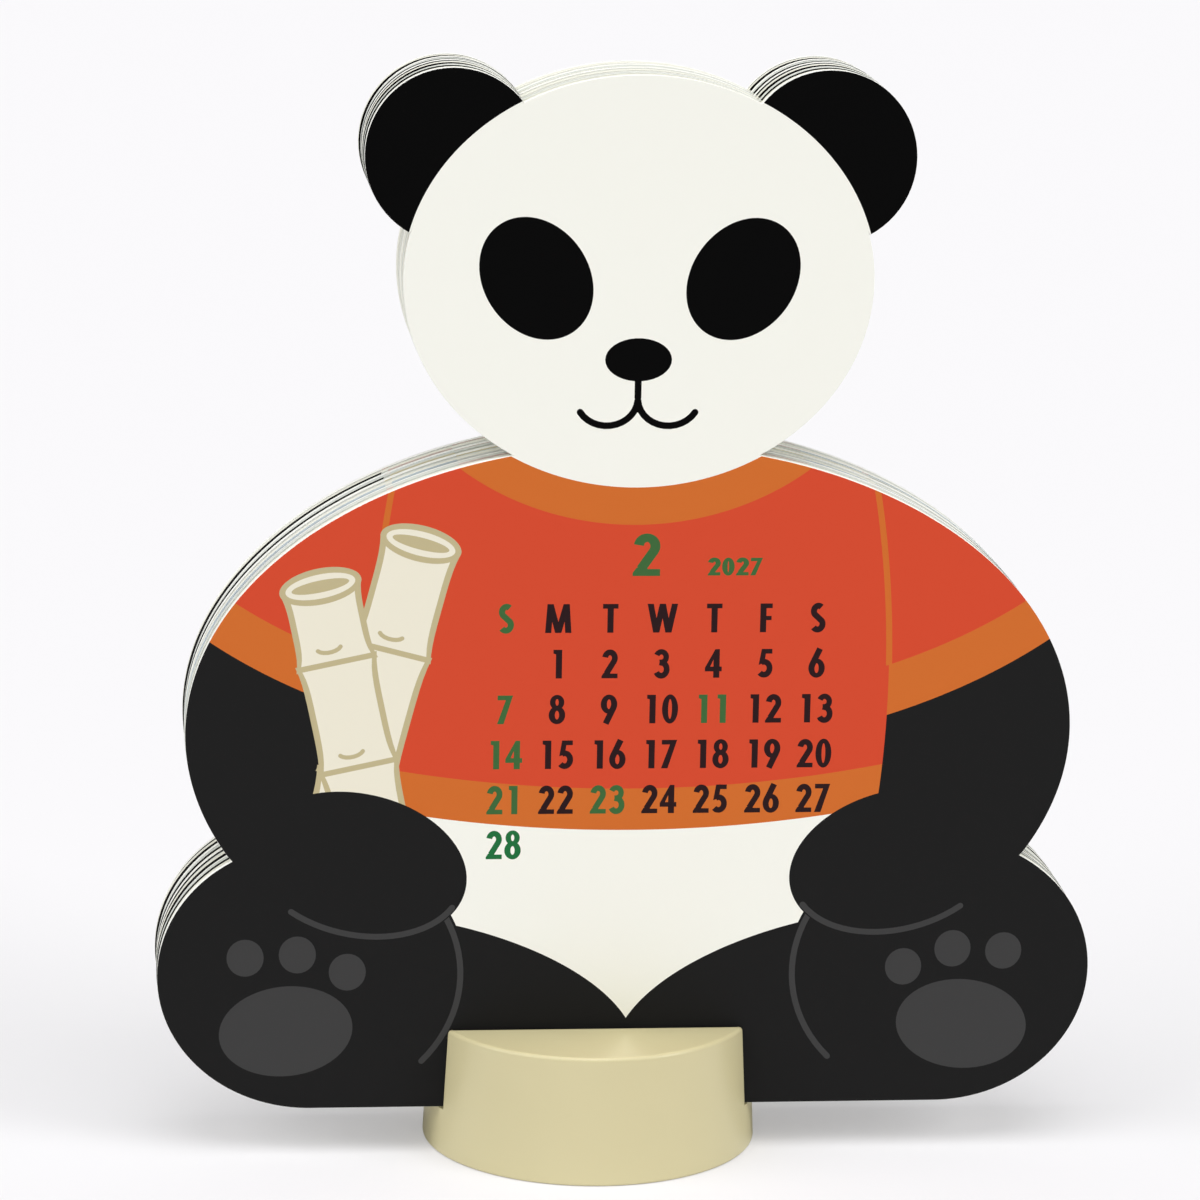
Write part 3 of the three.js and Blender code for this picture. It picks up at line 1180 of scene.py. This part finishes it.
@dataclass
class Stack:
    """All the cards, from the month on show back to the month that is past."""

    signs: Signs = field(default_factory=Signs)
    bold_signs: Signs = field(default_factory=lambda: Signs(1.0))
    figure: Figure = field(default_factory=Figure)

    def cards(self) -> list[Card]:
        """Sets out what each card shows and how it stands.

        Returns:
            The cards from the front to the back.
        """
        red = Outfit((207, 74, 47), (203, 107, 46))
        white, pale_blue, pale_grey = (233, 234, 228), (204, 214, 220), (216, 219, 212)
        straw, rose, mint = (232, 224, 196), (226, 206, 200), (208, 224, 210)
        bare, long = Sleeve.NONE, Sleeve.LONG
        outfits = [
            ("february", red, Settling()),
            ("march", Outfit(mint, straw, bare), Settling(0.05, -0.1)),
            ("april", Outfit(pale_grey, rose, long), Settling(-0.1, 0.06)),
            ("may", Outfit(pale_blue, white, bare), Settling(0.1, -0.06)),
            ("june", Outfit(pale_blue, white, long), Settling(-0.12, 0.12)),
            ("july", Outfit(white, pale_blue, bare), Settling(0.08, 0.02)),
            ("august", Outfit(white, straw, long), Settling(-0.06, 0.1)),
            ("september", Outfit(mint, white, bare), Settling(0.1, -0.08)),
            ("october", Outfit(straw, pale_grey, bare), Settling(-0.1, 0.02)),
            ("november", Outfit(pale_blue, rose, long), Settling(0.02, 0.06)),
            ("december", Outfit(rose, white, bare), Settling(-0.3, 0.16)),
            ("cover", Outfit(white, pale_grey, long), Settling(0.02, -0.04)),
            ("january", Outfit(white, rose, long), Settling(-0.1, 0.04)),
        ]
        holidays = {
            1: (1, 11), 2: (11, 23), 3: (21, 22), 4: (29,), 5: (3, 4, 5), 7: (19,), 8: (11,),
            9: (20, 23), 10: (11,), 11: (3, 23),
        }
        months = [name.lower() for name in calendar.month_name]
        cores = [
            CutFinish("board_core_white", (250, 250, 244)).make(),
            CutFinish("board_core_grey", (214, 217, 210)).make(),
            CutFinish("board_core_cream", (236, 235, 222)).make(),
        ]
        found = []
        for i, (name, outfit, settling) in enumerate(outfits):
            if name == "cover":
                page: MonthPage | CoverPage = CoverPage(self.signs)
            else:
                month = months.index(name)
                page = MonthPage(month, self.signs, self.bold_signs, holidays.get(month, ()))
            found.append(Card(name, outfit, page, settling, cores[i * 2 % 3]))
        return found

    def build(self) -> None:
        """Makes every card."""
        low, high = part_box("card_february")
        inks = {ink: PrintFinish(ink.value, colour).make() for ink, colour in PRINT_COLOURS.items()}
        blank = Blank(self.figure, (high.y - low.y) / MM)
        cards = self.cards()
        outlines = [patch for card in cards for patch in self.figure.picture(card.outfit)]
        board = blank.build(shapes_of(outlines))
        log.info("board: %d faces", len(board.data.polygons))
        for card in cards:
            card.build(blank, board, inks)
        bpy.data.objects.remove(board)


@dataclass
class Stand:
    """The moulded stand: a leaning round wall with a slot right through its top."""

    radius: float = 23.8
    draft: float = 2.7
    height: float = 18.4
    slot_floor: float = 6.6
    slot_half: float = 9.1
    slot_corner: float = 0.35
    wall: float = 2.0
    rib: float = 1.6
    rim_rounding: float = 0.55
    foot_rounding: float = 0.4
    overrun: float = 2.0
    facets: int = 192

    def radius_at(self, height: float) -> float:
        """Outer radius at a height."""
        return self.radius - height * math.tan(math.radians(self.draft))

    def build(self) -> None:
        """Makes the stand and gives it to its body."""
        stand = self.cone(0, self.height, 0)
        stand.name = "stand_moulding"
        combine(stand, self.slot(), "DIFFERENCE")
        self.round_rims(stand)
        combine(stand, self.hollow(), "DIFFERENCE")
        self.finish(stand)

    def cone(self, low: float, high: float, wall: float) -> bpy.types.Object:
        """A round solid that leans in with the stand's wall.

        Args:
            low: height of its lower end.
            high: height of its upper end.
            wall: how far it lies inside the outer surface.

        Returns:
            The solid, in millimetres.
        """
        return primitive(
            bpy.ops.mesh.primitive_cone_add,
            vertices=self.facets,
            radius1=self.radius_at(low) - wall,
            radius2=self.radius_at(high) - wall,
            depth=high - low,
            location=(0, 0, (low + high) / 2),
        )

    def block(self, wide: float, deep: float, low: float, high: float) -> bpy.types.Object:
        """A box about the stand's middle.

        Args:
            wide: its size from left to right.
            deep: its size from front to back.
            low: height of its lower face.
            high: height of its upper face.

        Returns:
            The box, in millimetres.
        """
        return primitive(
            bpy.ops.mesh.primitive_cube_add,
            size=1,
            location=(0, 0, (low + high) / 2),
            scale=(wide, deep, high - low),
        )

    def mouth_at(self, height: float) -> float:
        """How far out the rounding of the slot's mouths has its middle, at a height."""
        reach = self.radius_at(height) - self.slot_corner
        return math.sqrt(reach**2 - (self.slot_half + self.slot_corner) ** 2)

    def slot(self) -> bpy.types.Object:
        """What the slot takes out, with mouths that draw in as the outer wall leans.

        Returns:
            The cutting tool, which runs past the stand above and at both ends.
        """
        top = self.height + self.overrun
        arc_y = self.slot_half + self.slot_corner
        arc_x = self.mouth_at(self.slot_floor)
        bearing = math.degrees(math.atan2(arc_y, arc_x))
        mouth = 2 * self.radius
        corner = Oval(arc_x, -arc_y, self.slot_corner, self.slot_corner)
        quarter = corner.arc(90, -bearing, 20)
        far = (mouth * math.cos(math.radians(bearing)), mouth * math.sin(math.radians(bearing)))
        right = [*quarter, (far[0], -far[1]), far, *[(x, -y) for x, y in reversed(quarter)]]
        outline = right + [(-x, -y) for x, y in right]
        mesh = bpy.data.meshes.new("slot")
        mesh.from_pydata([(x, y, self.slot_floor) for x, y in outline], [], [range(len(outline))])
        tool = in_scene("slot", mesh)
        rise = (0, 0, top - self.slot_floor)
        with editing(tool):
            bpy.ops.mesh.extrude_region_move(TRANSFORM_OT_translate={"value": rise})
            bpy.ops.transform.resize(value=(self.mouth_at(top) / arc_x, 1, 1), center_override=(0, 0, 0))
            bpy.ops.mesh.select_all(action="SELECT")
            bpy.ops.mesh.normals_make_consistent(inside=False)
        return tool

    def hollow(self) -> bpy.types.Object:
        """What is cored out underneath: one even wall, and a cross of ribs down to the desk.

        Returns:
            The cutting tool.
        """
        core = self.cone(-self.overrun, self.height - self.wall, self.wall)
        span = 2 * self.radius
        under_slot = 2 * (self.slot_half + self.wall)
        combine(core, self.block(span, under_slot, self.slot_floor - self.wall, span), "DIFFERENCE")
        combine(core, self.block(span, self.rib, -span, span), "DIFFERENCE")
        combine(core, self.block(self.rib, span, -span, span), "DIFFERENCE")
        return core

    def round_rims(self, stand: bpy.types.Object) -> None:
        """Rounds the lips of both halves and the edge at the desk.

        Args:
            stand: the slotted moulding, not yet cored out.
        """

        def is_rim(edge: bmesh.types.BMEdge, height: float) -> bool:
            """Whether an edge lies at a height, between a level face and an upright one."""
            level = all(abs(vert.co.z - height) < SAME for vert in edge.verts)
            return level and edge.calc_face_angle(0) > CORNER

        with editing(stand):
            round_off(stand, lambda edge: is_rim(edge, self.height), self.rim_rounding, segments=5)
            round_off(stand, lambda edge: is_rim(edge, 0), self.foot_rounding, segments=3)

    def finish(self, stand: bpy.types.Object) -> None:
        """Smooths, dresses and places the stand.

        Args:
            stand: the moulding, in millimetres.
        """
        select_only(stand)
        bpy.ops.object.shade_smooth_by_angle(angle=math.radians(30))
        even = stand.modifiers.new("even", "WEIGHTED_NORMAL")
        even.keep_sharp = True
        bpy.ops.object.modifier_apply(modifier=even.name)
        plastic = PlasticFinish("moulded_cream_plastic", (208, 199, 157), (205, 196, 153))
        stand.data.materials.clear()
        stand.data.materials.append(plastic.make())
        stand.matrix_world = Matrix.Scale(MM, 4)
        settle_in_mesh(stand)
        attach(stand, "stand")
        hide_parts("stand")
        log.info("%s: %d faces", stand.name, len(stand.data.polygons))


@dataclass(frozen=True)
class SoftLamp:
    """A wide, even light from one direction."""

    name: str
    strength: float
    bearing: float
    height: float
    spread: float

    def build(self) -> None:
        """Hangs the lamp, which shines towards the object from its bearing and height."""
        data = bpy.data.lights.new(self.name, "SUN")
        data.energy = self.strength
        data.angle = math.radians(self.spread)
        lamp = in_scene(self.name, data)
        bearing, height = math.radians(self.bearing), math.radians(self.height)
        source = Vector(
            (
                math.sin(bearing) * math.cos(height),
                -math.cos(bearing) * math.cos(height),
                math.sin(height),
            )
        )
        lamp.rotation_euler = source.to_track_quat("Z", "Y").to_euler()


@dataclass(frozen=True)
class Studio:
    """The pale table top, the light and the camera."""

    camera_place: tuple[float, float, float] = (-60.39, -637.99, 224.71)
    camera_target: tuple[float, float, float] = (0.42, 0.0, 78.34)
    camera_roll: float = 1.03
    camera_lens: float = 140.46
    sky: float = 0.27
    lift: float = 0.38
    table: Colour = (240, 239, 241)
    backdrop: Colour = (250, 249, 251)

    def build(self) -> None:
        """Sets up everything round the object."""
        self.build_table()
        self.build_sky()
        for lamp in (
            SoftLamp("key_lamp", strength=1.05, bearing=58, height=34, spread=28),
            SoftLamp("fill_lamp", strength=1.2, bearing=-68, height=38, spread=50),
            SoftLamp("top_lamp", strength=1.55, bearing=5, height=74, spread=46),
        ):
            lamp.build()
        self.build_camera()

    def build_table(self) -> None:
        """Lays a wide pale table top just under the stand."""
        table = primitive(bpy.ops.mesh.primitive_plane_add, size=40, location=(0, 0, -0.02 * MM))
        table.name = "table_top"
        recipe = Recipe("table_white", self.table, 0.9, 0.0)
        self.soften_shadows(recipe)
        table.data.materials.append(recipe.material)

    def soften_shadows(self, recipe: Recipe) -> None:
        """Lets a share of the table shine by itself towards the camera, under paler shadows.

        Args:
            recipe: the table's material.
        """
        tree = recipe.tree
        seen = new_node(tree, "ShaderNodeLightPath", {})["Is Camera Ray"]
        share = new_node(tree, "ShaderNodeMath", {0: seen, 1: self.lift}, operation="MULTIPLY")["Value"]
        glow = new_node(tree, "ShaderNodeEmission", {"Color": linear(self.table)})["Emission"]
        blend = {0: share, 1: recipe.shader.outputs["BSDF"], 2: glow}
        both = new_node(tree, "ShaderNodeMixShader", blend)["Shader"]
        feed(tree, tree.nodes["Material Output"], {"Surface": both})

    def build_sky(self) -> None:
        """Lights the room evenly from all round, with a backdrop as pale as the lit table."""
        world = bpy.data.worlds.new("studio")
        world.use_nodes = True
        tree = world.node_tree
        glow = tree.nodes["Background"]
        feed(tree, glow, {"Color": (1, 1, 1, 1), "Strength": self.sky})
        backdrop = new_node(tree, "ShaderNodeBackground", {"Color": linear(self.backdrop)})["Background"]
        seen = new_node(tree, "ShaderNodeLightPath", {})["Is Camera Ray"]
        blend = {0: seen, 1: glow.outputs["Background"], 2: backdrop}
        both = new_node(tree, "ShaderNodeMixShader", blend)["Shader"]
        feed(tree, tree.nodes["World Output"], {"Surface": both})
        bpy.context.scene.world = world

    def build_camera(self) -> None:
        """Places the camera where the photograph was taken from."""
        data = bpy.data.cameras.new("camera")
        data.lens = self.camera_lens
        data.sensor_width = 36
        data.sensor_fit = "HORIZONTAL"
        data.clip_start = 0.01
        data.clip_end = 60
        camera = in_scene("camera", data)
        place = Vector(self.camera_place) * MM
        sight = Vector(self.camera_target) * MM - place
        turn = sight.to_track_quat("-Z", "Y").to_matrix().to_4x4()
        roll = Matrix.Rotation(math.radians(self.camera_roll), 4, "Z")
        camera.matrix_world = Matrix.Translation(place) @ turn @ roll
        bpy.context.scene.camera = camera


def main() -> None:
    """Builds the stand, the cards and the studio, in that order."""
    logging.basicConfig(level=logging.INFO, format="%(message)s")
    bpy.context.scene.view_settings.view_transform = "Standard"
    Stand(slot_half=CARD_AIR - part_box("card_february")[0].y / MM).build()
    Stack().build()
    Studio().build()


if __name__ == "__main__":
    main()
